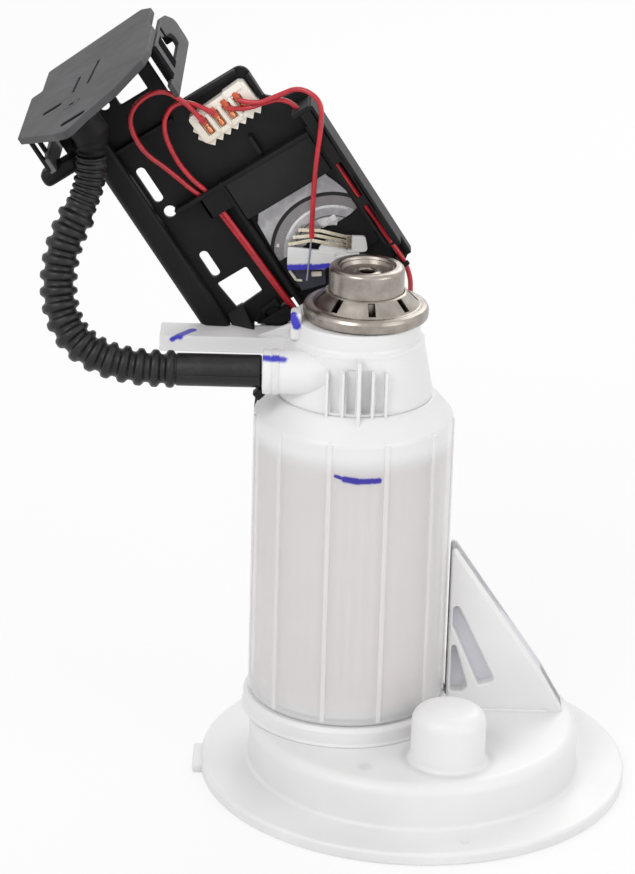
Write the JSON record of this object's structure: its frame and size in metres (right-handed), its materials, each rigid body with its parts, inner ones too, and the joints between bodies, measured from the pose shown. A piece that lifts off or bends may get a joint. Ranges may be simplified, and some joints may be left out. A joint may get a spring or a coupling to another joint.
{
  "type": "fuel filter and level sender module",
  "caption": "Inverted in-tank fuel filter module: round cover, translucent can with pressure regulator, corrugated hose, and a hinged tray with level sender, wiring and foot.",
  "frame": {"origin": "centre of the cover's rim at its outer face, which the module stands on", "axes": "+Z from the cover along the can, +X from the hinge towards the cover's middle and +Y towards the tray's back"},
  "size_m": [0.2075, 0.1625, 0.245],
  "materials": {
    "white_moulding": "smooth moulded acetal, satin",
    "can_wall": "cloudy translucent moulding",
    "filter_paper": "folded filter paper",
    "element_plastic": "moulded, satin",
    "black_moulding": "fine grained moulding",
    "dark_carrier": "smooth moulding",
    "grey_moulding": "moulded, satin grey",
    "regulator_steel": "drawn stainless steel",
    "plain_steel": "drawn wire and turned steel",
    "seal_rubber": "moulded rubber",
    "hose_black": "corrugated, satin black",
    "wire_red": "smooth insulation",
    "ivory_plug": "moulded, satin",
    "terminal_brass": "crimped strip",
    "board_ceramic": "fired ceramic with printed silver",
    "track_silver": "printed conductor",
    "hub_white": "moulded, satin",
    "finger_metal": "thin sprung strip",
    "float_foam": "closed-cell foam"
  },
  "bodies": {
    "cover": {"cover_flange": "white_moulding", "cover_plinth": "white_moulding", "cover_boss": "white_moulding", "cover_fin": "white_moulding", "can_seat_ring": "white_moulding", "outlet_nipple": "white_moulding", "cable_socket": "black_moulding", "socket_terminals": "terminal_brass", "filter_can": "can_wall", "pleated_element": "filter_paper", "element_bottom_cap": "element_plastic", "element_top_cap": "element_plastic", "element_core": "element_plastic", "can_head": "white_moulding", "hinge_pin": "plain_steel", "hose_clip": "white_moulding", "regulator_retainer": "regulator_steel", "regulator_cup": "regulator_steel", "regulator_body": "regulator_steel", "regulator_seal": "seal_rubber", "regulator_diaphragm": "seal_rubber", "regulator_spring": "plain_steel", "transfer_hose": "hose_black", "wire_front": "wire_red", "wire_back": "wire_red", "wire_side": "wire_red"},
    "tray": {"sender_tray": "black_moulding", "foot_plate": "grey_moulding", "foot_guard_right": "grey_moulding", "foot_guard_left": "black_moulding", "jet_pump": "black_moulding", "jet_nozzle": "grey_moulding", "sender_carrier": "dark_carrier", "sender_board": "board_ceramic", "sender_tracks": "track_silver", "sender_terminals": "terminal_brass", "wire_connector": "ivory_plug", "connector_terminals": "terminal_brass", "wire_hook": "black_moulding", "wire_sensor": "wire_red"},
    "lever": {"lever_hub": "hub_white", "wiper_fingers": "finger_metal", "float_rod": "plain_steel", "sender_float": "float_foam"},
    "valve": {"regulator_valve": "plain_steel"}
  },
  "joints": [
    {"name": "tray_swing", "type": "hinge", "parent": "cover", "child": "tray", "pos_m": [-0.0505, 0.034, 0.1501], "axis": [0, 1, 0], "range_deg": [0, 33.5], "deforming": ["transfer_hose", "wire_front", "wire_back", "wire_side"]},
    {"name": "float_swing", "type": "hinge", "parent": "tray", "child": "lever", "pos_m": [-0.03192, 0.034, 0.17403], "axis": [0, 1, 0], "range_deg": [0, 80], "deforming": ["wire_sensor"]},
    {"name": "valve_lift", "type": "slide", "parent": "cover", "child": "valve", "axis": [0, 0, 1], "range_m": [0, 0.0008], "stiffness_N_per_m": 2000, "springref_m": -0.001, "deforming": ["regulator_spring", "regulator_diaphragm"]}
  ]
}
